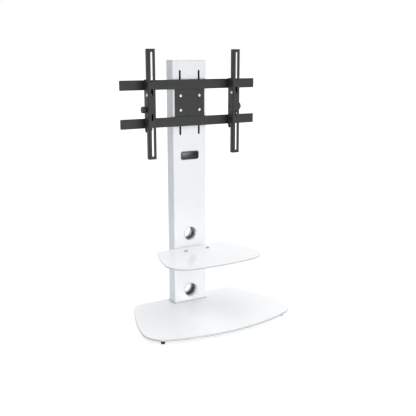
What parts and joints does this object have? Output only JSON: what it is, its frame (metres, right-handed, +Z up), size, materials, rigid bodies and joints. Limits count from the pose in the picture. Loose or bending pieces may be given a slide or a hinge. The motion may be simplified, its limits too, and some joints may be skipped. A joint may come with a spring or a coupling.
{
  "type": "television floor stand with mount",
  "caption": "White glass-based floor stand for a television: cable column with chrome ports, glass shelf, and a height-adjustable mount with sliding, tilting arms.",
  "frame": {"origin": "on the floor, under the centre of the base's footprint", "axes": "+Z up, +X to the right of a viewer in front of the screen, +Y to the back"},
  "size_m": [0.6918, 0.448, 1.134],
  "materials": {
    "white_glass": "polished, opaque white from behind",
    "white_paint": "satin white powder coat",
    "cool_white_paint": "satin cool white powder coat",
    "chrome": "polished",
    "black_steel": "fine textured black powder coat",
    "zinc_steel": "bright zinc plate",
    "black_plastic": "matte moulded",
    "grey_rubber": "matte",
    "black_rubber": "matte"
  },
  "bodies": {
    "stand": {"base_glass": "white_glass", "base_clamp_plate": "black_steel", "base_bolt_front_left": "zinc_steel", "base_bolt_front_right": "zinc_steel", "base_bolt_rear_left": "zinc_steel", "base_bolt_rear_right": "zinc_steel", "foot_socket_front_left": "black_steel", "foot_socket_front_right": "black_steel", "foot_socket_rear_left": "black_steel", "foot_socket_rear_right": "black_steel", "column_gasket": "grey_rubber", "column_foot_plate": "black_steel", "column_shelf_plate": "black_steel", "column_mount_plate": "black_steel", "post_left": "cool_white_paint", "post_right": "cool_white_paint", "column_front_panel": "white_paint", "column_top_cap": "white_paint", "port_ring_front_lower": "chrome", "port_ring_front_upper": "chrome", "outlet_grommet": "black_plastic", "shelf_glass": "white_glass", "shelf_bracket": "black_steel", "shelf_screw_lower_left": "zinc_steel", "shelf_screw_lower_right": "zinc_steel", "shelf_screw_upper_left": "zinc_steel", "shelf_screw_upper_right": "zinc_steel", "shelf_pad_left": "black_rubber", "shelf_pad_right": "black_rubber", "shelf_cap_screw_left": "chrome", "shelf_cap_screw_right": "chrome", "shelf_nut_left": "zinc_steel", "shelf_nut_right": "zinc_steel"},
    "levelling_foot_front_left": {"foot_front_left": "black_rubber"},
    "levelling_foot_front_right": {"foot_front_right": "black_rubber"},
    "levelling_foot_rear_left": {"foot_rear_left": "black_rubber"},
    "levelling_foot_rear_right": {"foot_rear_right": "black_rubber"},
    "lower_cover": {"rear_cover_lower": "white_paint", "port_ring_rear_lower": "chrome", "port_ring_rear_upper": "chrome"},
    "upper_cover": {"rear_cover_upper": "white_paint"},
    "mount": {"mount_plate": "black_steel", "mount_bolt_lower_left": "zinc_steel", "mount_bolt_lower_right": "zinc_steel", "mount_bolt_upper_left": "zinc_steel", "mount_bolt_upper_right": "zinc_steel", "nut_bar_lower": "zinc_steel", "nut_bar_upper": "zinc_steel", "rail_lower": "black_steel", "rail_upper": "black_steel"},
    "hook_left": {"hook_bracket_left": "black_steel", "tilt_pin_left": "zinc_steel", "safety_screw_left": "zinc_steel"},
    "hook_right": {"hook_bracket_right": "black_steel", "tilt_pin_right": "zinc_steel", "safety_screw_right": "zinc_steel"},
    "arm_left": {"tilt_arm_left": "black_steel"},
    "arm_right": {"tilt_arm_right": "black_steel"},
    "knob_left": {"tilt_lock_knob_left": "black_plastic"},
    "knob_right": {"tilt_lock_knob_right": "black_plastic"}
  },
  "joints": [
    {"name": "foot_level_front_left", "type": "slide", "parent": "stand", "child": "levelling_foot_front_left", "axis": [0, 0, -1], "range_m": [0, 0.005]},
    {"name": "foot_level_front_right", "type": "slide", "parent": "stand", "child": "levelling_foot_front_right", "axis": [0, 0, -1], "range_m": [0, 0.005]},
    {"name": "foot_level_rear_left", "type": "slide", "parent": "stand", "child": "levelling_foot_rear_left", "axis": [0, 0, -1], "range_m": [0, 0.005]},
    {"name": "foot_level_rear_right", "type": "slide", "parent": "stand", "child": "levelling_foot_rear_right", "axis": [0, 0, -1], "range_m": [0, 0.005]},
    {"name": "cover_lower_pull", "type": "slide", "parent": "stand", "child": "lower_cover", "axis": [0, 1, 0], "range_m": [0, 0.06]},
    {"name": "cover_upper_pull", "type": "slide", "parent": "stand", "child": "upper_cover", "axis": [0, 1, 0], "range_m": [0, 0.06]},
    {"name": "mount_height", "type": "slide", "parent": "stand", "child": "mount", "axis": [0, 0, 1], "range_m": [-0.1, 0.1]},
    {"name": "arm_slide_left", "type": "slide", "parent": "mount", "child": "hook_left", "axis": [1, 0, 0], "range_m": [-0.1, 0.1]},
    {"name": "arm_slide_right", "type": "slide", "parent": "mount", "child": "hook_right", "axis": [1, 0, 0], "range_m": [-0.1, 0.1]},
    {"name": "tilt_left", "type": "hinge", "parent": "hook_left", "child": "arm_left", "pos_m": [-0.2, 0.11, 0.954], "axis": [1, 0, 0], "range_deg": [-5, 10]},
    {"name": "tilt_right", "type": "hinge", "parent": "hook_right", "child": "arm_right", "pos_m": [0.2, 0.11, 0.954], "axis": [1, 0, 0], "range_deg": [-5, 10]},
    {"name": "lock_knob_left", "type": "hinge", "parent": "arm_left", "child": "knob_left", "pos_m": [-0.2, 0.126, 0.894], "axis": [1, 0, 0], "range_deg": [0, 180]},
    {"name": "lock_knob_right", "type": "hinge", "parent": "arm_right", "child": "knob_right", "pos_m": [0.2, 0.126, 0.894], "axis": [1, 0, 0], "range_deg": [0, 180]}
  ],
  "couplings": [
    {"joint": "tilt_right", "follows": "tilt_left", "ratio": 1}
  ]
}
